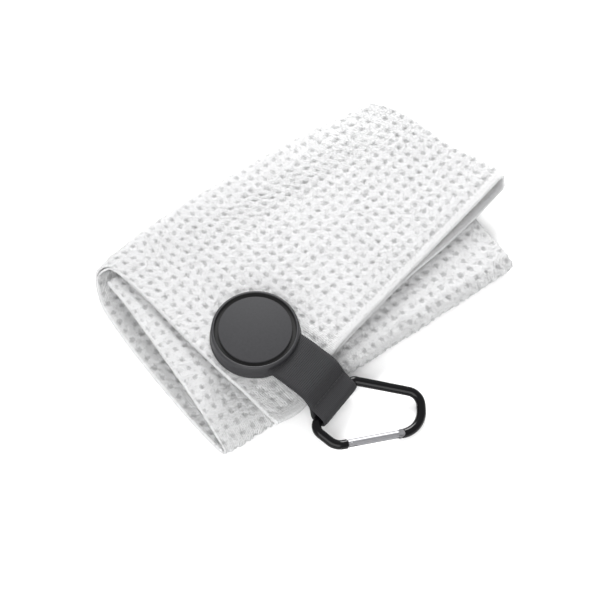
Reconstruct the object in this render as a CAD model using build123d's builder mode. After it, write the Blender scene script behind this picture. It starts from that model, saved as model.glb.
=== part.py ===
from build123d import *
import os
from math import atan2, cos, radians, sin

# Golf towel with a magnetic puck, a webbing strap and a carabiner.
# Millimetres, +Z up, +X along the towel's long side. The origin is the middle of the
# whole object's footprint, on the surface that it lies on.

# ---- towel: one square sheet, halved, then folded in thirds ----
towel_left = -118.7          # left end of the lower folds
towel_right = 90.8           # right end of the lower folds
front_y = -46.8              # outside of the front fold
ridge_y = 95.6               # outside of the back ridge
block_height = 14.0          # the four lower layers
flap_height = 8.0            # the two layers of the top flap
flap_front_left = (-78.2, -49.2)
flap_front_right = (119.6, -5.2)
flap_back_right = (92.0, 78.4)
flap_back_left = (-101.5, 83.6)
ridge_left = -105.0
ridge_right = 84.0
flap_corner = 3.0
flat_left = 0.05             # half the flat between the front fold's two rounds
stitch_inset = 5.2           # hem seam, in from the flap's front edge
stitch_pitch = 3.2
stitch_size = (2.1, 0.55, 0.3)
seam_ends = 28.0             # hem without stitches, both ends together

# ---- puck: rubber cover over a pot magnet ----
puck_centre = (-61.9, -4.3)
puck_base_radius = 25.4
puck_rim_radius = 24.2
puck_height = 10.0
flange_height = 2.3
flange_step = 0.5            # the wall's foot, in from the flange
rim_round = 0.7              # height of the wall's shoulder
rim_step = 0.5               # and its width
groove_drop = 0.2            # the groove's outer lip, below the rim
groove_outer = 22.6
face_radius = 20.3
face_thickness = 1.5
face_round = 0.35
recess_floor = 8.3
ceiling = 6.8                # underside of the cover's top, above the base
cavity_radius = 22.0
pad_thickness = 0.6
plate_thickness = 1.0
plate_radius = 21.9
cup_radius, cup_height, cup_wall = 12.0, 3.4, 1.0
magnet_radius, magnet_height, magnet_chamfer = 10.9, 2.3, 0.2
cup_play = 0.05              # round the magnet in its cup
foam_radius = 11.0
boss_radius, boss_circle = 2.1, 18.6
boss_angles = (75.0, 145.0, 215.0, 285.0)   # measured from the strap's direction
screw_radius = 0.8           # of the pilot holes
screw_hole = screw_radius + 0.1
screw_shank = screw_radius - 0.05
head_radius, head_hole, head_height = 1.4, 1.5, 0.6
base_shank_length, base_pilot = 3.4, 3.6
keeper_radius, keeper_thickness = 20.0, 1.0
patch_radius, patch_thickness = 24.0, 0.8
top_layer = 3.6              # cloth above the keeper plate

# ---- strap: webbing folded round the carabiner's wide end ----
strap_angle = -73.5          # its direction, seen from above
webbing_width = 29.0
ply = 1.4                    # one layer of webbing
root_start, hinge_out = 13.2, 28.8          # out from the puck's centre
strap_z = 27.4
crest_out, crest_z = 44.9, 25.6
bar_out, bar_z = 54.6, 10.0
loop_inner = 4.0
hinge_gap = 0.3
clamp_length, clamp_width, clamp_thickness = 22.0, 4.6, 1.2
clamp_out = 15.6
clamp_screw_half = 8.0       # from the middle to each clamp screw
clamp_round = 1.2
clamp_head_radius, clamp_head_height = 1.5, 0.9
clamp_pilot, clamp_tip = 0.7, 0.6
crest_radius = 9.0
root_side_gap = 0.1
seam_back = 10.0             # loop seam, back from the bar
seam_pitch, seam_count = 2.4, 11
seam_stitch = (1.8, 0.5, 0.25)

# ---- carabiner: bent rod with a straight sprung gate ----
rod_radius = 2.65
gate_radius = 2.25
left_side, left_corner = 19.7, 16.2
spine_start = 16.1
spine_end = (35.0, 34.0)
narrow_corner = (19.0, 47.4)
pivot_point = (9.0, 39.4)
corner_radii = (14.0, 8.0, 4.0, 5.5, 8.5)
nose_out = 6.3               # nose end, from the left corner along the gate's line
floor_reach = 43.4           # from the bar to where the rod meets the floor
rod_overlap = 0.6            # of the rod past the gate's rivet
tongue_thickness = 1.8
tongue_gap = 0.1             # of the tongues inside the gate's outline
tongue_root = 4.0
nose_tongue = (6.4, 3.6, 0.8)               # length, height and corner radius
nose_tongue_back = 1.2       # its middle, back from the nose
pin_back = 2.4               # the latch pin, back from the nose
pin_play, notch_play = 0.25, 0.35
slot_width = 2.1
shoulder_radius = 2.45
rivet_radius = 0.9
rivet_hole = rivet_radius + 0.03
rivet_head = (1.4, 0.35)     # radius and height
nose_pin_radius = 0.65
nose_gap = 0.35
gate_chamfer = 0.4
cheek_step = 0.25            # of the rivet's cheeks, in from the gate's sides
hinge_slot, nose_slot = (0.2, 5.2), (2.4, 5.0)   # middle and length
drill_past = 1.0
bore_start, bore_length = 2.4, 13.0
pin_inset = 0.1
plunger_radius, plunger_start, plunger_end = 0.85, 2.3, 6.0
spring_radius, spring_wire, spring_turns, spring_length = 0.9, 0.5, 7, 9.0
spring_bore = 1.35

os.makedirs("parts", exist_ok=True)


def save(builder, name):
    """Labels a finished piece and writes its STEP file."""
    builder.part.label = name
    export_step(builder.part, f"parts/{name}.step")


towel_top = block_height + flap_height
strap_dir = Vector(cos(radians(strap_angle)), sin(radians(strap_angle)), 0)
across = Vector(-strap_dir.Y, strap_dir.X, 0)
puck_base = Plane(origin=(*puck_centre, towel_top), x_dir=strap_dir, z_dir=(0, 0, 1))

# ============================ towel ============================
keeper_top = towel_top - top_layer
keeper_bottom = keeper_top - keeper_thickness
keeper_plane = Plane(origin=(*puck_centre, keeper_bottom))
fold_radius = block_height / 2
ridge_radius = towel_top / 2
with BuildPart() as towel_cloth:
    # lower folds: a slab with a round front fold, seen from the right-hand end
    with BuildSketch(Plane.YZ.offset(towel_left)):
        with Locations(((front_y + ridge_y - ridge_radius) / 2, fold_radius)):
            RectangleRounded(
                ridge_y - ridge_radius - front_y, block_height, fold_radius - flat_left
            )
    extrude(amount=towel_right - towel_left)
    # back ridge, where the top flap comes up and over
    with BuildSketch(Plane.YZ.offset(ridge_left)):
        with Locations((ridge_y - ridge_radius, ridge_radius)):
            Circle(ridge_radius)
    extrude(amount=ridge_right - ridge_left)
    # top flap, turned a little and hanging out past the lower folds
    with BuildSketch(Plane.XY.offset(block_height)) as flap_outline:
        with BuildLine():
            Polyline(
                flap_front_left, flap_front_right, flap_back_right, flap_back_left, close=True
            )
        make_face()
        fillet(flap_outline.vertices(), flap_corner)
    extrude(amount=flap_height)
    # pocket for the keeper plate and its patch
    with BuildSketch(keeper_plane):
        Circle(keeper_radius)
    extrude(amount=keeper_thickness, mode=Mode.SUBTRACT)
    with BuildSketch(keeper_plane.offset(-patch_thickness)):
        Circle(patch_radius)
    extrude(amount=patch_thickness, mode=Mode.SUBTRACT)
save(towel_cloth, "towel_cloth")

with BuildPart() as keeper_plate:
    with BuildSketch(keeper_plane):
        Circle(keeper_radius)
    extrude(amount=keeper_thickness)
save(keeper_plate, "keeper_plate")

with BuildPart() as keeper_patch:
    with BuildSketch(keeper_plane.offset(-patch_thickness)):
        Circle(patch_radius)
    extrude(amount=patch_thickness)
save(keeper_patch, "keeper_patch")

hem_start, hem_end = Vector(*flap_front_left), Vector(*flap_front_right)
hem_run = hem_end - hem_start
hem_plane = Plane(origin=(*flap_front_left, towel_top), x_dir=hem_run, z_dir=(0, 0, 1))
stitch_total = int((hem_run.length - seam_ends) / stitch_pitch)
with BuildPart() as hem_stitches:
    with BuildSketch(hem_plane):
        with Locations((hem_run.length / 2, stitch_inset)):
            with GridLocations(stitch_pitch, 0, stitch_total, 1):
                Rectangle(stitch_size[0], stitch_size[1])
    extrude(amount=stitch_size[2])
save(hem_stitches, "hem_stitches")

# ============================= puck =============================
# distances below are above the puck's base; the sections are turned about its axis
puck_section = Plane(origin=puck_base.origin, x_dir=strap_dir, z_dir=-across)
wall_foot = puck_base_radius - flange_step
with BuildPart() as puck_cover:
    with BuildSketch(puck_section) as cover_section:
        with BuildLine():
            Polyline(
                (0, ceiling),
                (cavity_radius, ceiling),
                (cavity_radius, 0),
                (puck_base_radius, 0),
                (puck_base_radius, flange_height),
                (wall_foot, flange_height + rim_round),
                (puck_rim_radius, puck_height - rim_round),
                (puck_rim_radius - rim_step, puck_height),
                (groove_outer, puck_height - groove_drop),
                (groove_outer, recess_floor),
                (0, recess_floor),
                close=True,
            )
        make_face()
    revolve(axis=Axis(puck_base.origin, (0, 0, 1)))
    # bosses that the base plate screws into, joined to the ceiling
    with BuildSketch(puck_base.offset(pad_thickness + plate_thickness)):
        for angle in boss_angles:
            with PolarLocations(boss_circle, 1, start_angle=angle):
                Circle(boss_radius)
    extrude(amount=ceiling - pad_thickness - plate_thickness)
    with BuildSketch(puck_base.offset(pad_thickness + plate_thickness)):
        for angle in boss_angles:
            with PolarLocations(boss_circle, 1, start_angle=angle):
                Circle(screw_radius)
    extrude(amount=base_pilot, mode=Mode.SUBTRACT)
    # window in the wall for the webbing, and pilot holes for the clamp's screws
    with BuildSketch(puck_base.offset(ceiling - 2 * ply)):
        with Locations((hinge_out / 2 + root_start / 2, 0)):
            Rectangle(hinge_out - root_start, webbing_width)
    extrude(amount=2 * ply, mode=Mode.SUBTRACT)
    with BuildSketch(puck_base.offset(ceiling)):
        with Locations((clamp_out, -clamp_screw_half), (clamp_out, clamp_screw_half)):
            Circle(screw_radius)
    extrude(amount=clamp_pilot, mode=Mode.SUBTRACT)
save(puck_cover, "puck_cover")

with BuildPart() as face_disc:
    with BuildSketch(puck_base.offset(recess_floor)):
        Circle(face_radius)
    extrude(amount=face_thickness)
    fillet(face_disc.faces().sort_by(Axis.Z)[-1].edges(), face_round)
save(face_disc, "face_disc")

with BuildPart() as grip_pad:
    with BuildSketch(puck_base):
        Circle(plate_radius)
    extrude(amount=pad_thickness)
save(grip_pad, "grip_pad")

with BuildPart() as base_plate:
    with BuildSketch(puck_base.offset(pad_thickness)):
        Circle(plate_radius)
    extrude(amount=plate_thickness)
    with BuildSketch(puck_base.offset(pad_thickness)):
        for angle in boss_angles:
            with PolarLocations(boss_circle, 1, start_angle=angle):
                Circle(head_hole)
    extrude(amount=head_height, mode=Mode.SUBTRACT)
    with BuildSketch(puck_base.offset(pad_thickness)):
        for angle in boss_angles:
            with PolarLocations(boss_circle, 1, start_angle=angle):
                Circle(screw_hole)
    extrude(amount=plate_thickness, mode=Mode.SUBTRACT)
save(base_plate, "base_plate")

with BuildPart() as base_screws:
    with BuildSketch(puck_base.offset(pad_thickness)):
        for angle in boss_angles:
            with PolarLocations(boss_circle, 1, start_angle=angle):
                Circle(head_radius)
    extrude(amount=head_height)
    with BuildSketch(puck_base.offset(pad_thickness + head_height)):
        for angle in boss_angles:
            with PolarLocations(boss_circle, 1, start_angle=angle):
                Circle(screw_shank)
    extrude(amount=base_shank_length)
save(base_screws, "base_screws")

inside_floor = pad_thickness + plate_thickness
with BuildPart() as steel_cup:
    with BuildSketch(puck_base.offset(inside_floor)):
        Circle(cup_radius)
    extrude(amount=cup_height)
    with BuildSketch(puck_base.offset(inside_floor)):
        Circle(cup_radius - cup_wall + cup_play)
    extrude(amount=magnet_height + cup_play, mode=Mode.SUBTRACT)
save(steel_cup, "steel_cup")

with BuildPart() as magnet:
    with BuildSketch(puck_base.offset(inside_floor)):
        Circle(magnet_radius)
    extrude(amount=magnet_height)
    chamfer(magnet.edges().filter_by(GeomType.CIRCLE), magnet_chamfer)
save(magnet, "magnet")

with BuildPart() as foam_pad:
    with BuildSketch(puck_base.offset(inside_floor + cup_height)):
        Circle(foam_radius)
    extrude(amount=ceiling - inside_floor - cup_height)
save(foam_pad, "foam_pad")

# ============================ strap =============================
# the strap's side view: x is the way out from the puck's axis, y is the height
strap_side = Plane(origin=(*puck_centre, 0), x_dir=strap_dir, z_dir=-across)
half_width = webbing_width / 2
with BuildPart() as webbing_root:
    with BuildSketch(strap_side):
        with Locations(((root_start + hinge_out) / 2, strap_z)):
            Rectangle(hinge_out - root_start, 2 * ply)
        with Locations((hinge_out, strap_z)):
            Circle(ply)
    extrude(amount=half_width - root_side_gap, both=True)
    with BuildSketch(puck_base.offset(ceiling - 2 * ply)):
        with Locations((clamp_out, -clamp_screw_half), (clamp_out, clamp_screw_half)):
            Circle(screw_hole)
    extrude(amount=2 * ply, mode=Mode.SUBTRACT)
save(webbing_root, "webbing_root")

clamp_top = ceiling - 2 * ply
with BuildPart() as clamp_bar:
    with BuildSketch(puck_base.offset(clamp_top - clamp_thickness)):
        with Locations((clamp_out, 0)):
            RectangleRounded(clamp_width, clamp_length, clamp_round)
        with Locations((clamp_out, -clamp_screw_half), (clamp_out, clamp_screw_half)):
            Circle(screw_hole, mode=Mode.SUBTRACT)
    extrude(amount=clamp_thickness)
save(clamp_bar, "clamp_bar")

with BuildPart() as clamp_screws:
    with BuildSketch(puck_base.offset(clamp_top - clamp_thickness - clamp_head_height)):
        with Locations((clamp_out, -clamp_screw_half), (clamp_out, clamp_screw_half)):
            Circle(clamp_head_radius)
    extrude(amount=clamp_head_height)
    with BuildSketch(puck_base.offset(clamp_top - clamp_thickness)):
        with Locations((clamp_out, -clamp_screw_half), (clamp_out, clamp_screw_half)):
            Circle(screw_shank)
    extrude(amount=clamp_thickness + 2 * ply + clamp_tip)
save(clamp_screws, "clamp_screws")

loop_outer = loop_inner + ply
with BuildPart() as webbing_loop:
    with BuildSketch(strap_side):
        with BuildLine() as strap_path:
            FilletPolyline(
                (hinge_out, strap_z), (crest_out, crest_z), (bar_out, bar_z), radius=crest_radius
            )
        trace(strap_path.line, line_width=2 * ply)
        with Locations((bar_out, bar_z)):
            Circle(loop_outer)
            Circle(loop_inner, mode=Mode.SUBTRACT)
        with Locations((hinge_out, strap_z)):
            Circle(ply + hinge_gap, mode=Mode.SUBTRACT)
    extrude(amount=half_width, both=True)
save(webbing_loop, "webbing_loop")

# seam across the webbing that closes the loop, on both faces
run = Vector(bar_out - crest_out, bar_z - crest_z)
run_dir = run.normalized()
seam_centre = strap_side.from_local_coords(
    Vector(bar_out, bar_z) - run_dir * seam_back
)
run_world = strap_dir * run_dir.X + Vector(0, 0, 1) * run_dir.Y
seam_plane = Plane(origin=seam_centre, x_dir=across, z_dir=run_world.cross(across))
with BuildPart() as loop_stitches:
    for side in (ply, -ply - seam_stitch[2]):
        with BuildSketch(seam_plane.offset(side)):
            with GridLocations(seam_pitch, 0, seam_count, 1):
                Rectangle(seam_stitch[0], seam_stitch[1])
        extrude(amount=seam_stitch[2])
save(loop_stitches, "loop_stitches")

# ========================== carabiner ===========================
# its own plane slopes from the bar in the webbing loop down to the floor at the narrow end;
# x runs along the wide bar, y towards the narrow end
slope = atan2(bar_z - rod_radius, floor_reach)
bar_centre = strap_side.from_local_coords(Vector(bar_out, bar_z))
down_slope = strap_dir * cos(slope) - Vector(0, 0, 1) * sin(slope)
ring_up = down_slope.cross(across)
ring = Plane(origin=bar_centre, x_dir=-across, z_dir=ring_up)
left_point = Vector(left_side, left_corner)
pivot = Vector(-pivot_point[0], pivot_point[1])
gate_line = (left_point - pivot).normalized()
nose = left_point - gate_line * nose_out
gate_length = (nose - pivot).length
hinge_plane = Plane(
    origin=ring.from_local_coords(pivot),
    x_dir=ring.from_local_coords(pivot + gate_line) - ring.from_local_coords(pivot),
    z_dir=ring.z_dir,
)
rod_start = pivot - gate_line * rod_overlap
with BuildPart() as carabiner_body:
    with BuildLine(ring) as rod_path:
        FilletPolyline(
            (rod_start.X, rod_start.Y),
            (-narrow_corner[0], narrow_corner[1]),
            (-spine_end[0], spine_end[1]),
            (-spine_start, 0),
            (left_side, 0),
            (left_side, left_corner),
            (nose.X, nose.Y),
            radius=corner_radii,
        )
    with BuildSketch(rod_path.line ^ 0):
        Circle(rod_radius)
    sweep(path=rod_path.line)
    # shoulder and tongue at the gate's rivet
    with BuildSketch(hinge_plane.offset(-rod_radius)):
        Circle(shoulder_radius)
    extrude(amount=2 * rod_radius, mode=Mode.SUBTRACT)
    with BuildSketch(hinge_plane.offset(-tongue_thickness / 2)):
        Circle(gate_radius - tongue_gap)
        with Locations((-tongue_root / 2, 0)):
            Rectangle(tongue_root, 2 * (gate_radius - tongue_gap))
        Circle(rivet_hole, mode=Mode.SUBTRACT)
    extrude(amount=tongue_thickness)
    # hooked tongue at the nose, open towards the inside for the gate's pin
    with BuildSketch(hinge_plane.offset(-tongue_thickness / 2)):
        with Locations((gate_length - nose_tongue_back, 0)):
            RectangleRounded(*nose_tongue)
        with Locations((gate_length - pin_back, 0)):
            Circle(nose_pin_radius + pin_play, mode=Mode.SUBTRACT)
        with Locations((gate_length - pin_back, -nose_tongue[1] / 2)):
            Rectangle(2 * (nose_pin_radius + notch_play), nose_tongue[1], mode=Mode.SUBTRACT)
    extrude(amount=tongue_thickness)
save(carabiner_body, "carabiner_body")

with BuildPart() as gate_rivet:
    with BuildSketch(hinge_plane.offset(-gate_radius)):
        Circle(rivet_radius)
    extrude(amount=2 * gate_radius)
    with BuildSketch(hinge_plane.offset(gate_radius), hinge_plane.offset(-gate_radius - rivet_head[1])):
        Circle(rivet_head[0])
    extrude(amount=rivet_head[1])
save(gate_rivet, "gate_rivet")

gate_end = gate_length - nose_gap
gate_section = Plane(
    origin=hinge_plane.origin, x_dir=hinge_plane.y_dir, z_dir=hinge_plane.x_dir
)
with BuildPart() as gate:
    with BuildSketch(gate_section):
        Circle(gate_radius)
    extrude(amount=gate_end)
    chamfer(gate.faces().sort_by(Axis(hinge_plane.origin, hinge_plane.x_dir))[-1].edges(), gate_chamfer)
    # round cheeks at the rivet
    with BuildSketch(hinge_plane.offset(cheek_step - gate_radius)):
        Circle(gate_radius)
    extrude(amount=2 * (gate_radius - cheek_step))
    # slots for the two tongues, bores for the rivet, the spring and the nose pin
    with BuildSketch(hinge_plane.offset(-slot_width / 2)):
        with Locations((hinge_slot[0], 0)):
            Rectangle(hinge_slot[1], 3 * gate_radius)
        with Locations((gate_end - nose_slot[0], 0)):
            Rectangle(nose_slot[1], 3 * gate_radius)
    extrude(amount=slot_width, mode=Mode.SUBTRACT)
    with BuildSketch(hinge_plane.offset(-gate_radius - drill_past)):
        Circle(rivet_hole)
        with Locations((gate_length - pin_back, 0)):
            Circle(nose_pin_radius)
    extrude(amount=2 * (gate_radius + drill_past), mode=Mode.SUBTRACT)
    with BuildSketch(gate_section.offset(bore_start)):
        Circle(spring_bore)
    extrude(amount=bore_length, mode=Mode.SUBTRACT)
save(gate, "gate")

with BuildPart() as nose_pin:
    with BuildSketch(hinge_plane.offset(pin_inset - gate_radius)):
        with Locations((gate_length - pin_back, 0)):
            Circle(nose_pin_radius)
    extrude(amount=2 * (gate_radius - pin_inset))
save(nose_pin, "nose_pin")

with BuildPart() as gate_plunger:
    with BuildSketch(gate_section.offset(plunger_start)):
        Circle(plunger_radius)
    extrude(amount=plunger_end - plunger_start)
save(gate_plunger, "gate_plunger")

spring_start = plunger_end + spring_wire / 2
with BuildPart() as gate_spring:
    with BuildLine() as coil:
        Helix(
            pitch=spring_length / spring_turns,
            height=spring_length,
            radius=spring_radius,
            center=gate_section.offset(spring_start).origin,
            direction=gate_section.z_dir,
        )
    with BuildSketch(coil.line ^ 0):
        Circle(spring_wire / 2)
    sweep(path=coil.line, is_frenet=True)
save(gate_spring, "gate_spring")
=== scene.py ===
import bpy
import numpy as np
from math import cos, pi, radians, sin
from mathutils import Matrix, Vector


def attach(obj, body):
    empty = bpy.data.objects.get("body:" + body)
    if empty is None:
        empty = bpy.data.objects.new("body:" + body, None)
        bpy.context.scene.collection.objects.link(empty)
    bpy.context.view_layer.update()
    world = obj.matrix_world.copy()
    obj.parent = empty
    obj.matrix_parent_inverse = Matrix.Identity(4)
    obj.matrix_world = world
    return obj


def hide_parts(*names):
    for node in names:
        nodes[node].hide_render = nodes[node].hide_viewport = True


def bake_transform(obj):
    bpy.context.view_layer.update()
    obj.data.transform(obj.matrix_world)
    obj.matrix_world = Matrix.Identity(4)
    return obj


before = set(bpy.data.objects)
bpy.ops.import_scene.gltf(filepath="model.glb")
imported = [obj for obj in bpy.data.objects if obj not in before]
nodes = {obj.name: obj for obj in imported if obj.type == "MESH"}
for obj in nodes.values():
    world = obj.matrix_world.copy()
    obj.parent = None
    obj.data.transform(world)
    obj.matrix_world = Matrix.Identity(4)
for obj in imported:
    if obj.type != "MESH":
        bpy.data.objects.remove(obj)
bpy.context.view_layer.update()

# ---- camera, floor and light ----
# The camera looks down on the towel from the front left. A soft lamp stands behind and to
# the right, a larger and weaker one in front, and an even white sky fills in the shadows.
view_azimuth, view_elevation = radians(-35.9), radians(61.3)
aim = Vector((-0.02125, 0.0101, 0))
back = Vector((
    sin(view_azimuth) * cos(view_elevation),
    -cos(view_azimuth) * cos(view_elevation),
    sin(view_elevation),
))
bpy.ops.object.camera_add(location=aim + back * 0.81)
camera = bpy.context.object
camera.rotation_euler = back.to_track_quat("Z", "Y").to_euler()
camera.data.lens = 84
camera.data.clip_start = 0.01
bpy.context.scene.camera = camera

bpy.ops.mesh.primitive_plane_add(size=6, location=(0, 0, -0.0003))
floor = bpy.context.object
floor.name = "floor"
floor_paint = bpy.data.materials.new("floor_paint")
floor_paint.use_nodes = True
floor_shader = floor_paint.node_tree.nodes["Principled BSDF"]
floor_shader.inputs["Base Color"].default_value = (0.95, 0.95, 0.95, 1)
floor_shader.inputs["Roughness"].default_value = 0.9
floor.data.materials.append(floor_paint)


def lamp(place, size, power):
    """A square soft lamp aimed at the towel."""
    bpy.ops.object.light_add(type="AREA", location=place)
    bpy.context.object.data.size = size
    bpy.context.object.data.energy = power
    away = Vector(place) - aim
    bpy.context.object.rotation_euler = away.to_track_quat("Z", "Y").to_euler()


lamp((0.5, 0.8, 0.7), 0.6, 26)
lamp((-0.8, -0.7, 0.9), 1.2, 20)
sky = bpy.data.worlds.new("sky")
bpy.context.scene.world = sky
sky.use_nodes = True
sky_light = sky.node_tree.nodes["Background"]
sky_light.inputs["Color"].default_value = (1, 1, 1, 1)
sky_light.inputs["Strength"].default_value = 0.72
bpy.context.scene.view_settings.view_transform = "Standard"

# ---- towel cloth ----
# One square sheet of white waffle-weave microfibre. It is halved, with the fold at the
# right-hand end, and the doubled cloth is then folded in thirds: the front third over the
# middle one, and the back third over both as the top flap, turned a little to the right.
mm = 0.001
half_gap = 1.85              # from the middle of a doubled layer to the middle of one layer
skin = 0.75                  # from the middle of a layer to its face
cell = 6.6                   # pitch of the waffle weave
crest, pit = 0.42, 0.55      # how far the weave stands out and sinks in
edge_round = 0.7
share_step = 3               # outer rows and columns to each one of the inner face

# Lines across the doubled cloth, from the hidden rear edge of the front third to the flap's hem.
# Each has points at the left end, at 1/3 and 2/3 of the width, and at the right-hand fold.
stations = np.array([
    [(-107.5, 77.0, 13), (-45, 79, 11), (25, 79, 11), (85, 79, 11)],
    [(-106.8, 60.0, 14.1), (-45, 60, 11), (25, 60, 11), (86, 60, 11)],
    [(-107.6, 20.0, 14.0), (-45, 20, 11), (25, 20, 11), (87, 20, 11)],
    [(-108.6, -18.0, 11.8), (-46, -18, 11), (24, -20, 11), (87, -20, 11)],
    [(-109.6, -36.0, 7.8), (-46, -37.5, 11), (24, -38.5, 11), (87, -40, 10.6)],
    [(-110.0, -42.5, 4.6), (-46, -42.5, 9.5), (24, -43.5, 9.5), (87, -44.5, 9)],
    [(-110.8, -43.6, 3.6), (-46, -43.8, 7.1), (24, -44.8, 7.1), (87, -45.6, 6.8)],
    [(-111.6, -42.0, 3.2), (-46, -42.5, 4.7), (24, -43.5, 4.7), (87, -44.3, 4.7)],
    [(-112.6, -37.0, 3.1), (-46, -38, 3.2), (24, -39, 3.2), (87, -40, 3.2)],
    [(-115.4, -10.0, 3.2), (-46, -10, 3.2), (24, -10, 3.2), (87, -10, 3.2)],
    [(-117.4, 40.0, 3.0), (-47, 40, 3.2), (23, 40, 3.2), (86, 40, 3.2)],
    [(-116.6, 68.0, 3.6), (-47, 76, 3.2), (22, 76, 3.2), (84, 74, 3.2)],
    [(-114.0, 80.0, 5.6), (-47, 88, 3.8), (22, 88, 3.8), (83, 83, 3.8)],
    [(-108.4, 87.8, 11.0), (-46, 94.3, 11), (21, 94.0, 11), (85.5, 89.0, 11.5)],
    [(-102.5, 83.5, 17.4), (-45, 89.5, 17.9), (22, 89.2, 17.9), (87, 84.5, 17.9)],
    [(-99.5, 74.0, 18.6), (-43, 77, 18.9), (24, 77, 18.9), (93, 75, 18.9)],
    [(-96.0, 52.0, 18.7), (-33, 54, 18.9), (38, 57, 18.9), (99, 57, 18.9)],
    [(-92.5, 22.0, 18.7), (-27, 27, 18.9), (45, 34, 18.9), (103, 38, 18.9)],
    [(-87.5, -12.0, 18.7), (-20, -2, 18.9), (51, 8, 18.9), (109.5, 17, 19.2)],
    [(-83.0, -32.0, 18.7), (-15, -20, 18.9), (53, -7, 18.9), (113, 3, 19.4)],
    [(-79.5, -46.5, 18.7), (-13, -31, 18.9), (52, -16.7, 18.9), (113.5, -4, 19.4)],
])
front_row, ridge_row, hem_row = 6, 13, 20


def smooth(x, low, high):
    """0 at low, 1 at high, and an even curve between them, in either direction."""
    t = np.clip((x - low) / (high - low), 0, 1)
    return t * t * (3 - 2 * t)


def curve_through(values, places, at):
    """A curve without overshoot through values at places, read at the places in at."""
    step = np.diff(places)[:, None]
    flat = values.reshape(len(values), -1)
    rise = np.diff(flat, axis=0) / step
    slope = np.zeros_like(flat)
    slope[0], slope[-1] = rise[0], rise[-1]
    before, after = rise[:-1], rise[1:]
    same_way = before * after > 0
    slope[1:-1][same_way] = (2 * before * after)[same_way] / (before + after)[same_way]
    k = np.clip(np.searchsorted(places, at, side="right") - 1, 0, len(places) - 2)
    h = step[k]
    t = (at - places[k])[:, None] / h
    found = (
        (2 * t**3 - 3 * t**2 + 1) * flat[k]
        + (t**3 - 2 * t**2 + t) * h * slope[k]
        + (3 * t**2 - 2 * t**3) * flat[k + 1]
        + (t**3 - t**2) * h * slope[k + 1]
    )
    return found.reshape(len(at), *values.shape[1:])


def unit(v):
    """The same directions, one long."""
    return v / np.linalg.norm(v, axis=-1, keepdims=True)


# places along the folded cloth, in steps that the inner face can share
run = np.linalg.norm(np.diff(stations.mean(1), axis=0), axis=1)
station_at = np.concatenate([[0], np.cumsum(run)])
row_pitch = 1.17
steps = share_step * round(station_at[hem_row] / row_pitch / share_step)
along = np.linspace(0, station_at[hem_row], steps + 1)
# places across it: the outer layer from its left edge to the fold, round the fold, and back
# along the inner layer, whose left edge alone shows
turn = 10                    # columns round the fold
outer_last = 180             # the outer layer's last column, where the fold starts
outer_across = np.linspace(0, 1, outer_last + 1)
inner_across = np.concatenate([
    np.linspace(1, 0.4, 36), np.linspace(0.4, 0.1, 10)[1:], np.linspace(0.1, 0, 19)[1:],
])
across_at = np.concatenate([outer_across, np.ones(turn - 1), inner_across])
angle = np.concatenate([
    np.full(len(outer_across), pi / 2),
    np.linspace(pi / 2, -pi / 2, turn + 1)[1:-1],
    np.full(len(inner_across), -pi / 2),
])
rows = curve_through(stations, station_at, along).transpose(1, 0, 2)
thirds = np.array([0, 1 / 3, 2 / 3, 1])
middle = curve_through(rows, thirds, across_at).transpose(1, 0, 2)
from_hem = (station_at[hem_row] - along)[:, None]
lie = across_at[None, :]
# the flap's front left corner hangs over the front fold
middle[..., 2] -= 8.5 * np.exp(-(((lie - 0.05) / 0.13) ** 2)) * smooth(from_hem, 22, -2)
middle[..., 1] -= 7.2 * np.exp(-(((lie - 0.09) / 0.09) ** 2)) * smooth(from_hem, 40, 0)

down_run = unit(np.gradient(middle, axis=0))
outer_rows = curve_through(rows, thirds, outer_across).transpose(1, 0, 2)
side_run = unit(np.gradient(outer_rows, axis=1))
side_run = side_run[:, np.round(across_at * outer_last).astype(int)]
outward = unit(np.cross(down_run, side_run))
# the two layers stand apart at the flap's right-hand corner
gap = half_gap + 2.6 * smooth(lie, 0.6, 0.95) * smooth(from_hem, 50, 5)
gap = gap - 0.8 * smooth(lie, 0.07, 0)
facing = np.cos(angle)[None, :, None] * side_run + np.sin(angle)[None, :, None] * outward
centre = middle + gap[..., None] * facing
# the inner layer's hem shows in front of the outer one's
lead = 3.0 * smooth(lie, 0.5, 0.75) * smooth(from_hem, 60, 0)
centre += (lead * smooth(-np.sin(angle), 0, 1)[None, :])[..., None] * down_run
# and the hem is drawn back at the fold, which rounds the corner
centre -= (0.5 * smooth(lie, 0.86, 1.0) * smooth(from_hem, 35, 0))[..., None] * down_run

# how far each point is along the cloth itself, for the weave
weave_down = np.zeros(centre.shape[:2])
weave_down[1:] = np.cumsum(np.linalg.norm(np.diff(centre, axis=0), axis=2), axis=0)
weave_down = weave_down[-1] - weave_down
flap_row = centre[-30]       # a row of the flap well behind its hem
weave_side = np.concatenate([[0], np.cumsum(np.linalg.norm(np.diff(flap_row, axis=0), axis=1))])
weave_side = np.tile(weave_side - weave_side[outer_last], (len(along), 1))
front_at = np.searchsorted(along, station_at[front_row])
under_at = np.searchsorted(along, station_at[ridge_row - 2])
whole_cells = round(weave_down[front_at].mean() / cell) * cell
weave_front = weave_down - weave_down[front_at] + whole_cells
share = smooth(along, along[front_at + 6], along[under_at])[:, None]
weave_down_even = weave_front * (1 - share) + weave_down * share

# relief of the weave: ragged pits between raised tufts, none on the hems
chance = np.random.default_rng(7)


def blur(values):
    """Evens out a grid of chance values over the nearest points."""
    padded_values = np.pad(values, 1, mode="edge")
    return sum(
        padded_values[i:i + values.shape[0], j:j + values.shape[1]]
        for i in range(3) for j in range(3)
    ) / 3


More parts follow.
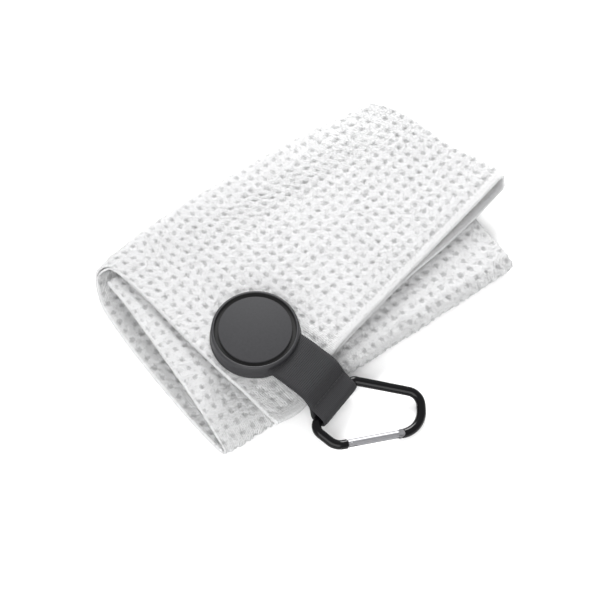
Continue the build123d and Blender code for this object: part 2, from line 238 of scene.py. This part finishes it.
stray_side, stray_down, pile = (chance.normal(0, 1, weave_side.shape) for _ in range(3))
wave_side = 0.5 + 0.5 * np.cos(2 * pi * (weave_side + 0.25 * blur(stray_side)) / cell)
wave_down = 0.5 + 0.5 * np.cos(2 * pi * (weave_down_even + 0.25 * blur(stray_down)) / cell)
hollow = smooth(wave_side * wave_down, 0.25, 0.95)
edge_side = np.minimum(weave_side - weave_side[:, :1], weave_side[:, -1:] - weave_side)
hem_width = 5.2
stitch_pitch = 3.2
in_hem = smooth(weave_down, hem_width + 1.0, hem_width - 0.2)
woven = (1 - in_hem) * smooth(edge_side, -0.5, 1.5)
relief = woven * (crest - (crest + pit) * hollow)
seam_dent = np.exp(-(((weave_down - hem_width) / 0.9) ** 2))
hem_puff = in_hem * (0.55 - 0.8 * seam_dent)
height = skin + relief + hem_puff + (0.06 + 0.3 * woven) * np.clip(pile, -2, 2)
outer_face = centre + height[..., None] * facing
inner_face = centre - skin * facing
# no part of the cloth lies under the floor
outer_face[..., 2] = np.maximum(outer_face[..., 2], 0.05)
inner_face[..., 2] = np.maximum(inner_face[..., 2], 0.6)


def rim(grid):
    """The indices round the edge of a grid, as one closed loop."""
    return np.concatenate([grid[0, :-1], grid[:-1, -1], grid[-1, :0:-1], grid[:0:-1, 0]])


def finish_mesh(obj):
    """Puts a new mesh in the scene, turns its faces outward and shades it smooth."""
    bpy.context.scene.collection.objects.link(obj)
    bpy.ops.object.select_all(action="DESELECT")
    obj.select_set(True)
    bpy.context.view_layer.objects.active = obj
    bpy.ops.object.mode_set(mode="EDIT")
    bpy.ops.mesh.select_all(action="SELECT")
    bpy.ops.mesh.normals_make_consistent(inside=False)
    bpy.ops.object.mode_set(mode="OBJECT")
    bpy.ops.object.shade_smooth()


# the woven face, the coarser inner face, and a lip that joins their edges
outer_index = np.arange(woven.size).reshape(woven.shape)
inner_points = inner_face[::share_step, ::share_step]
inner_index = outer_index.size + np.arange(inner_points[..., 0].size)
inner_index = inner_index.reshape(inner_points.shape[:2])
outer_rim, inner_rim = rim(outer_index), rim(inner_index)
away_from_middle = np.zeros_like(outer_face)
away_from_middle[0] -= down_run[0]
away_from_middle[-1] += down_run[-1]
away_from_middle[:, 0] -= side_run[:, 0]
away_from_middle[:, -1] -= side_run[:, -1]
lip = centre + edge_round * away_from_middle + (0.25 * height)[..., None] * facing
lip_points = lip.reshape(-1, 3)[outer_rim]
lip_first = outer_index.size + inner_index.size
points = np.concatenate([outer_face.reshape(-1, 3), inner_points.reshape(-1, 3), lip_points])
faces = []
for grid in (outer_index, inner_index):
    a, b, c, d = grid[:-1, :-1], grid[:-1, 1:], grid[1:, 1:], grid[1:, :-1]
    faces += np.stack([a, b, c, d], axis=-1).reshape(-1, 4).tolist()
ring = len(outer_rim)
for i in range(ring):
    j = (i + 1) % ring
    faces.append([int(outer_rim[i]), int(outer_rim[j]), lip_first + j, lip_first + i])
    near = int(inner_rim[((i + 1) // share_step) % len(inner_rim)])
    faces.append([lip_first + i, lip_first + j, near])
    if i % share_step == share_step - 1:
        faces.append([lip_first + i, near, int(inner_rim[i // share_step])])
towel_mesh = bpy.data.meshes.new("towel")
towel_mesh.from_pydata((points * mm).tolist(), [], faces)
towel = bpy.data.objects.new("towel", towel_mesh)
finish_mesh(towel)


def per_point(values):
    """The values at the mesh's points: outer face, inner face and lip."""
    return np.concatenate([
        values.ravel(), values[::share_step, ::share_step].ravel(), values.ravel()[outer_rim]
    ])


# the weave's own directions, for the threads in the material, and how deep each point lies, which
# the material turns into painted shade in the weave's pits and in dots along the hem's seam
map_scale = 0.01             # from millimetres to units of the map
corner = np.zeros(len(towel_mesh.loops), int)
towel_mesh.loops.foreach_get("vertex_index", corner)
weave_uv = np.stack([per_point(weave_side)[corner], per_point(weave_down_even)[corner]], 1)
towel_mesh.uv_layers.new(name="weave").data.foreach_set("uv", weave_uv.ravel() * map_scale)
# painted shade: dark dots along the hem's seam line, one per stitch pitch, fed into "depth"
seam_shade_dots = seam_dent * (0.5 + 0.5 * np.cos(2 * pi * weave_side / stitch_pitch)) ** 2
depth = towel_mesh.attributes.new("depth", "FLOAT", "POINT")
depth.data.foreach_set(
    "value", per_point(woven * hollow + 0.9 * seam_shade_dots).astype(np.float32)
)


def blank(name):
    """A new material with its shader, and the material's nodes and links."""
    made = bpy.data.materials.new(name)
    made.use_nodes = True
    return made, made.node_tree.nodes, made.node_tree.links


towel_fabric, tn, tl = blank("towel_fabric")
shader = tn["Principled BSDF"]
shader.inputs["Roughness"].default_value = 0.92
shader.inputs["Sheen Weight"].default_value = 0.25
shader.inputs["Sheen Roughness"].default_value = 0.5
shader.inputs["Specular IOR Level"].default_value = 0.25
uv = tn.new("ShaderNodeUVMap")
uv.uv_map = "weave"
fuzz = tn.new("ShaderNodeTexNoise")
fuzz.inputs["Scale"].default_value = 160
fuzz.inputs["Detail"].default_value = 4
tl.new(uv.outputs["UV"], fuzz.inputs["Vector"])
threads = tn.new("ShaderNodeTexWave")
threads.bands_direction = "X"
threads.inputs["Scale"].default_value = 30
threads.inputs["Distortion"].default_value = 3.5
threads.inputs["Detail"].default_value = 2
threads.inputs["Detail Scale"].default_value = 6
tl.new(uv.outputs["UV"], threads.inputs["Vector"])
# painted shade: the "depth" attribute, roughened by ragged noise, darkens the cloth's colour in the
# weave's pits and along the seam
shade_amount = tn.new("ShaderNodeAttribute")
shade_amount.attribute_name = "depth"
ragged = tn.new("ShaderNodeTexNoise")
ragged.inputs["Scale"].default_value = 75
ragged.inputs["Detail"].default_value = 3
tl.new(uv.outputs["UV"], ragged.inputs["Vector"])
shade_marks = tn.new("ShaderNodeMath")
shade_marks.operation = "MULTIPLY_ADD"
shade_marks.inputs[1].default_value = 2.2
tl.new(ragged.outputs["Fac"], shade_marks.inputs[0])
tl.new(shade_amount.outputs["Fac"], shade_marks.inputs[2])
pit_shade_mask = tn.new("ShaderNodeMapRange")
pit_shade_mask.inputs["From Min"].default_value = 1.2
pit_shade_mask.inputs["From Max"].default_value = 1.9
tl.new(shade_marks.outputs["Value"], pit_shade_mask.inputs["Value"])
# colour A is the open cloth; colour B is painted shade for the pits and the seam's dots
cloth_and_pit_shade = tn.new("ShaderNodeMix")
cloth_and_pit_shade.data_type = "RGBA"
cloth_and_pit_shade.inputs["A"].default_value = (0.64, 0.642, 0.645, 1)
cloth_and_pit_shade.inputs["B"].default_value = (0.44, 0.442, 0.445, 1)
tl.new(pit_shade_mask.outputs["Result"], cloth_and_pit_shade.inputs["Factor"])
tl.new(cloth_and_pit_shade.outputs["Result"], shader.inputs["Base Color"])
fine_pile = tn.new("ShaderNodeMath")
fine_pile.operation = "MULTIPLY_ADD"
fine_pile.inputs[1].default_value = 2.4
tl.new(ragged.outputs["Fac"], fine_pile.inputs[0])
tl.new(fuzz.outputs["Fac"], fine_pile.inputs[2])
both = tn.new("ShaderNodeMath")
both.operation = "MULTIPLY_ADD"
both.inputs[1].default_value = 0.6
tl.new(threads.outputs["Fac"], both.inputs[0])
tl.new(fine_pile.outputs["Value"], both.inputs[2])
bump = tn.new("ShaderNodeBump")
bump.inputs["Strength"].default_value = 0.9
bump.inputs["Distance"].default_value = 0.0011
tl.new(both.outputs["Value"], bump.inputs["Height"])
tl.new(bump.outputs["Normal"], shader.inputs["Normal"])
towel_mesh.materials.append(towel_fabric)
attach(towel, "towel")
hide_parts("towel_cloth")

# ---- hem stitches ----
# White sewing thread, one row of stitches along the flap's hem, five millimetres from its edge.
# Each stitch is a small spindle that lies in the row's groove, pointed where it dives in.
stitch_length, stitch_radius = 2.4, 0.24
columns = np.arange(2, outer_last)
seam = np.array([
    [np.interp(-hem_width, -weave_down[-40:, k], outer_face[-40:, k, axis]) for axis in range(3)]
    for k in columns
])
seam_at = np.concatenate([[0], np.cumsum(np.linalg.norm(np.diff(seam, axis=0), axis=1))])
starts = np.arange(1, seam_at[-1] - stitch_pitch, stitch_pitch)
ring_angle = np.arange(6) * pi / 3
stitch_points, stitch_faces = [], []
for start in starts:
    one, two = (
        np.array([np.interp(t, seam_at, seam[:, axis]) for axis in range(3)])
        for t in (start, start + stitch_length)
    )
    way = unit(two - one)
    side_way = unit(np.cross(way, [0, 0, 1]))
    up_way = np.cross(side_way, way)
    first = len(stitch_points)
    stitch_points += [one, two]
    for share_along, fat in ((0.2, 0.8), (0.5, 1.0), (0.8, 0.8)):
        for turned in ring_angle:
            out = fat * stitch_radius * (cos(turned) * side_way + sin(turned) * up_way)
            stitch_points.append(one + share_along * (two - one) + out + 0.12 * up_way)
    for i in range(6):
        j = (i + 1) % 6
        stitch_faces.append([first, first + 2 + j, first + 2 + i])
        for level in (2, 8):
            stitch_faces.append([
                first + level + i, first + level + j, first + level + 6 + j, first + level + 6 + i
            ])
        stitch_faces.append([first + 14 + i, first + 14 + j, first + 1])
stitch_mesh = bpy.data.meshes.new("hem_stitching")
stitch_mesh.from_pydata((np.array(stitch_points) * mm).tolist(), [], stitch_faces)
hem_stitching = bpy.data.objects.new("hem_stitching", stitch_mesh)
finish_mesh(hem_stitching)


def grained(name, colour, roughness, grain, strength, metal=0.0, gloss=0.5):
    """A material whose colour, roughness and surface vary with a fine noise of that scale."""
    made, mn, ml = blank(name)
    mn["Principled BSDF"].inputs["Metallic"].default_value = metal
    mn["Principled BSDF"].inputs["Specular IOR Level"].default_value = gloss
    place = mn.new("ShaderNodeTexCoord")
    noise = mn.new("ShaderNodeTexNoise")
    noise.inputs["Scale"].default_value = grain
    noise.inputs["Detail"].default_value = 5
    ml.new(place.outputs["Object"], noise.inputs["Vector"])
    shades = mn.new("ShaderNodeMix")
    shades.data_type = "RGBA"
    shades.inputs["A"].default_value = (*(c * 0.82 for c in colour), 1)
    shades.inputs["B"].default_value = (*(min(1, c * 1.18) for c in colour), 1)
    ml.new(noise.outputs["Fac"], shades.inputs["Factor"])
    ml.new(shades.outputs["Result"], mn["Principled BSDF"].inputs["Base Color"])
    polish = mn.new("ShaderNodeMapRange")
    polish.inputs["To Min"].default_value = roughness - 0.08
    polish.inputs["To Max"].default_value = roughness + 0.08
    ml.new(noise.outputs["Fac"], polish.inputs["Value"])
    ml.new(polish.outputs["Result"], mn["Principled BSDF"].inputs["Roughness"])
    dents = mn.new("ShaderNodeBump")
    dents.inputs["Strength"].default_value = strength
    dents.inputs["Distance"].default_value = 0.0001
    ml.new(noise.outputs["Fac"], dents.inputs["Height"])
    ml.new(dents.outputs["Normal"], mn["Principled BSDF"].inputs["Normal"])
    return made


white_thread = grained("white_thread", (0.5, 0.5, 0.5), 0.7, 2500, 0.4)
stitch_mesh.materials.append(white_thread)
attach(hem_stitching, "towel")
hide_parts("hem_stitches")

# ---- puck cover ----
# Dark grey moulded rubber, a round cup with a soft shoulder, a groove round the face and a
# window in its wall for the webbing. It snaps over the base plate and is held by the screws.
puck_middle, puck_floor = Vector((-0.0619, -0.0043)), 0.022
ceiling, cavity_radius = 6.8, 22.4
round_sides = 144
# radius and height, from the foot of the cavity, up the outside and in to the recess's middle
cover_section = [
    (cavity_radius, 0), (25.1, 0), (25.4, 0.3), (25.4, 1.3), (25.2, 1.75), (24.95, 2.3), (24.8, 4.0),
    (24.6, 6.6), (24.45, 8.2), (24.3, 9.0), (24.0, 9.55), (23.6, 9.88), (23.15, 10.0),
    (22.85, 9.93), (22.65, 9.7), (22.6, 9.3), (22.55, 8.6), (22.35, 8.35), (22.0, 8.3),
    (19.5, 8.3), (2.0, 8.3),
]
bpy.ops.mesh.primitive_circle_add(
    vertices=round_sides, radius=cavity_radius * mm, fill_type="NGON",
    location=(*puck_middle, puck_floor + ceiling * mm),
)
cover = bpy.context.object
cover.name = "rubber_cover"
bpy.ops.object.mode_set(mode="EDIT")
bpy.ops.mesh.select_all(action="SELECT")
was_radius, was_height = cavity_radius, ceiling
for radius, height_at in cover_section:
    bpy.ops.mesh.extrude_region_move(
        TRANSFORM_OT_translate={"value": (0, 0, (height_at - was_height) * mm)}
    )
    bpy.ops.transform.resize(value=(radius / was_radius, radius / was_radius, 1))
    was_radius, was_height = radius, height_at
bpy.ops.mesh.select_all(action="SELECT")
bpy.ops.mesh.normals_make_consistent(inside=False)
bpy.ops.object.mode_set(mode="OBJECT")

strap_turn = radians(-73.5)
out_way = Vector((cos(strap_turn), sin(strap_turn), 0))
side_way = Vector((-out_way.y, out_way.x, 0))
window_out, strap_height = 24, 27.4         # from the puck's axis, and above the floor
window_middle = Vector((*puck_middle, strap_height * mm)) + out_way * window_out * mm
bpy.ops.mesh.primitive_cube_add(size=1, location=window_middle, rotation=(0, 0, strap_turn))
window = bpy.context.object
window.scale = (6 * mm, 29.6 * mm, 3.0 * mm)
cut = cover.modifiers.new("window", "BOOLEAN")
cut.object = window
cut.operation = "DIFFERENCE"
cut.solver = "EXACT"
bpy.ops.object.select_all(action="DESELECT")
cover.select_set(True)
bpy.context.view_layer.objects.active = cover
bpy.ops.object.modifier_apply(modifier="window")
bpy.data.objects.remove(window)
bpy.ops.object.shade_smooth_by_angle(angle=radians(40))
bpy.ops.object.transform_apply(location=True, rotation=True, scale=True)
black_rubber = grained("black_rubber", (0.016, 0.016, 0.018), 0.5, 900, 0.25, gloss=0.35)
cover.data.materials.append(black_rubber)
# painted shade: a darker rubber on the groove's faces round the face disc, so the groove reads
# deeper than its shape makes it
groove_shade = grained("groove_shade", (0.012, 0.012, 0.012), 0.7, 900, 0.25, gloss=0.2)
cover.data.materials.append(groove_shade)
# the faces that take the painted shade: those in the groove's ring, above its floor
groove_inner, groove_outer, groove_height = 19, 22.62, 8.2
for polygon in cover.data.polygons:
    from_axis = (polygon.center.xy - puck_middle).length / mm
    above = polygon.center.z > puck_floor + groove_height * mm
    polygon.material_index = int(groove_inner < from_axis < groove_outer and above)
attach(cover, "puck")
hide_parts("puck_cover")

# ---- face disc ----
# Dark grey plastic disc, flat with a fine rounded edge, pressed into the cover's recess.
face_radius, face_thickness, face_middle, face_edge = 20.3, 1.5, 9.1, 0.35
bpy.ops.mesh.primitive_cylinder_add(
    vertices=round_sides, radius=face_radius * mm, depth=face_thickness * mm,
    location=(*puck_middle, puck_floor + face_middle * mm),
)
disc = bpy.context.object
disc.name = "puck_face"
bpy.ops.object.mode_set(mode="EDIT")
bpy.ops.mesh.select_all(action="SELECT")
bpy.ops.mesh.bevel(offset=face_edge * mm, segments=3)
bpy.ops.object.mode_set(mode="OBJECT")
bpy.ops.object.shade_smooth_by_angle(angle=radians(40))
bpy.ops.object.transform_apply(location=True, rotation=True, scale=True)
dark_plastic = grained("dark_plastic", (0.028, 0.028, 0.03), 0.66, 700, 0.2, gloss=0.15)
disc.data.materials.append(dark_plastic)
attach(disc, "puck")
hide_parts("face_disc")

# ---- webbing strap ----
# One length of dark grey ribbed nylon webbing. It comes out of the puck's window, bends over
# the towel's edge, goes round the carabiner's bar, and comes back underneath to the same clamp.
webbing_half, ply_half = 14.5, 0.64
rib_pitch, rib_height = 1.05, 0.2
bar = (54.6, 10.0)           # the carabiner's bar, out from the puck's axis and up
# the middle of the webbing, in the same two directions, from the clamp and back to it
strap_route = np.array([
    (15, 28.1), (22, 28.1), (28.8, 28.1), (34, 27.5), (40.6, 26.8), (44.8, 25.35),
    (47.8, 22.27), (49.95, 18.9), (54.2, 15.9), (57.7, 13.6), (59.1, 10.4), (58, 7.0),
    (55, 5.2), (51.8, 5.8), (50.0, 8.6), (49.5, 12.4), (48.7, 18.1), (46.6, 21.5), (44, 24.1),
    (40.5, 25.4), (34, 26.1), (28.8, 26.7), (22, 26.7), (15, 26.7),
])
strap_step = np.linalg.norm(np.diff(strap_route, axis=0), axis=1)
strap_places = np.concatenate([[0], np.cumsum(strap_step)])
strap_at = np.arange(0, strap_places[-1], 0.05)
dense = curve_through(strap_route, strap_places, strap_at)
soften = 49                  # points averaged, which rounds the route's corners
padded = np.concatenate([np.repeat(dense[:1], soften, 0), dense, np.repeat(dense[-1:], soften, 0)])
eased = np.stack([np.convolve(padded[:, k], np.ones(soften) / soften, "same") for k in (0, 1)], 1)
eased = eased[soften:-soften]
eased_at = np.concatenate([[0], np.cumsum(np.linalg.norm(np.diff(eased, axis=0), axis=1))])
rib_at = np.arange(0, eased_at[-1], 0.2)
route = np.stack([np.interp(rib_at, eased_at, eased[:, k]) for k in (0, 1)], 1)
route_way = unit(np.gradient(route, axis=0))
route_normal = np.stack([-route_way[:, 1], route_way[:, 0]], 1)
from_bar = np.linalg.norm(route - bar, axis=1)
rib = rib_height * np.cos(2 * pi * rib_at / rib_pitch) * smooth(from_bar, 6.5, 9.5)
across_web = np.concatenate([np.linspace(-1, 1, 15), np.linspace(1, -1, 15)])
upper = np.concatenate([np.ones(15), -np.ones(15)])
edge_thin = np.where(np.abs(across_web) > 0.99, 0.45, 1.0)
out, up, side = np.array(out_way), np.array([0, 0, 1]), np.array(side_way)
web_points = (
    np.array([*puck_middle, 0]) / mm
    + route[:, None, :1] * out
    + route[:, None, 1:] * up
    + (webbing_half + 0.5 * rib)[:, None, None] * across_web[None, :, None] * side
)
lift = (ply_half + rib)[:, None] * (upper * edge_thin)[None, :]
web_points += lift[..., None] * (route_normal[:, None, :1] * out + route_normal[:, None, 1:] * up)
ring_count = len(across_web)
web_index = np.arange(web_points.shape[0] * ring_count).reshape(-1, ring_count)
web_next = np.roll(web_index, -1, axis=1)
web_faces = np.stack(
    [web_index[:-1], web_next[:-1], web_next[1:], web_index[1:]], axis=-1
).reshape(-1, 4).tolist()
web_faces += [web_index[0].tolist(), web_index[-1].tolist()]
web_mesh = bpy.data.meshes.new("webbing_strap")
web_mesh.from_pydata((web_points.reshape(-1, 3) * mm).tolist(), [], web_faces)
web_map = web_mesh.uv_layers.new(name="threads")
web_corner = np.zeros(len(web_mesh.loops), int)
web_mesh.loops.foreach_get("vertex_index", web_corner)
web_uv = np.stack(
    [np.tile(across_web * webbing_half, len(route)), np.repeat(rib_at, ring_count)], 1
)
web_map.data.foreach_set("uv", (web_uv[web_corner] * map_scale).ravel())
strap = bpy.data.objects.new("webbing_strap", web_mesh)
finish_mesh(strap)

webbing_paint, wn, wl = blank("webbing")
web_shader = wn["Principled BSDF"]
web_shader.inputs["Roughness"].default_value = 0.78
web_shader.inputs["Specular IOR Level"].default_value = 0.3
web_uv_node = wn.new("ShaderNodeUVMap")
web_uv_node.uv_map = "threads"
warp = wn.new("ShaderNodeTexWave")
warp.bands_direction = "X"
warp.inputs["Scale"].default_value = 38
warp.inputs["Distortion"].default_value = 1.2
warp.inputs["Detail Scale"].default_value = 8
wl.new(web_uv_node.outputs["UV"], warp.inputs["Vector"])
fibre = wn.new("ShaderNodeTexNoise")
fibre.inputs["Scale"].default_value = 260
fibre.inputs["Detail"].default_value = 4
wl.new(web_uv_node.outputs["UV"], fibre.inputs["Vector"])
weft = wn.new("ShaderNodeMath")
weft.operation = "MULTIPLY_ADD"
weft.inputs[1].default_value = 0.6
wl.new(warp.outputs["Fac"], weft.inputs[0])
wl.new(fibre.outputs["Fac"], weft.inputs[2])
web_shades = wn.new("ShaderNodeMix")
web_shades.data_type = "RGBA"
web_shades.inputs["A"].default_value = (0.005, 0.005, 0.006, 1)
web_shades.inputs["B"].default_value = (0.024, 0.024, 0.026, 1)
wl.new(weft.outputs["Value"], web_shades.inputs["Factor"])
wl.new(web_shades.outputs["Result"], web_shader.inputs["Base Color"])
web_bump = wn.new("ShaderNodeBump")
web_bump.inputs["Strength"].default_value = 0.6
web_bump.inputs["Distance"].default_value = 0.0002
wl.new(weft.outputs["Value"], web_bump.inputs["Height"])
wl.new(web_bump.outputs["Normal"], web_shader.inputs["Normal"])
web_mesh.materials.append(webbing_paint)
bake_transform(strap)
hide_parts("webbing_root", "webbing_loop")

# ---- carabiner, gate and the pieces inside ----
# The carabiner is a bent aluminium rod, anodised glossy black. Its straight gate is plain
# satin aluminium on a rivet. The towel's keeper, the puck's magnet and its fixings sit inside.
def repaint(paint, *names):
    """Gives CAD pieces this material in place of their plain one."""
    for name in names:
        nodes[name].data.materials.clear()
        nodes[name].data.materials.append(paint)


black_anodised = grained("black_anodised", (0.0025, 0.0025, 0.003), 0.15, 1400, 0.04, gloss=0.17)
repaint(black_anodised, "carabiner_body")
plain_aluminium = grained("plain_aluminium", (0.24, 0.24, 0.25), 0.45, 1100, 0.12, metal=1.0)
repaint(plain_aluminium, "gate", "gate_rivet")
nickel = grained("nickel", (0.6, 0.59, 0.56), 0.25, 900, 0.1, metal=1.0)
repaint(nickel, "magnet")
zinc_steel = grained("zinc_steel", (0.55, 0.56, 0.58), 0.35, 700, 0.15, metal=1.0)
repaint(
    zinc_steel, "keeper_plate", "steel_cup", "clamp_screws", "base_screws", "nose_pin",
    "gate_plunger", "gate_spring",
)
pad_rubber = grained("pad_rubber", (0.03, 0.03, 0.03), 0.75, 600, 0.4)
repaint(pad_rubber, "grip_pad")
base_plastic = grained("base_plastic", (0.06, 0.06, 0.062), 0.5, 500, 0.2)
repaint(base_plastic, "base_plate", "clamp_bar")
grey_foam = grained("grey_foam", (0.3, 0.3, 0.31), 0.9, 400, 0.8)
repaint(grey_foam, "foam_pad")
repaint(towel_fabric, "keeper_patch")
dark_thread = grained("dark_thread", (0.02, 0.02, 0.021), 0.7, 2500, 0.5)
repaint(dark_thread, "loop_stitches")
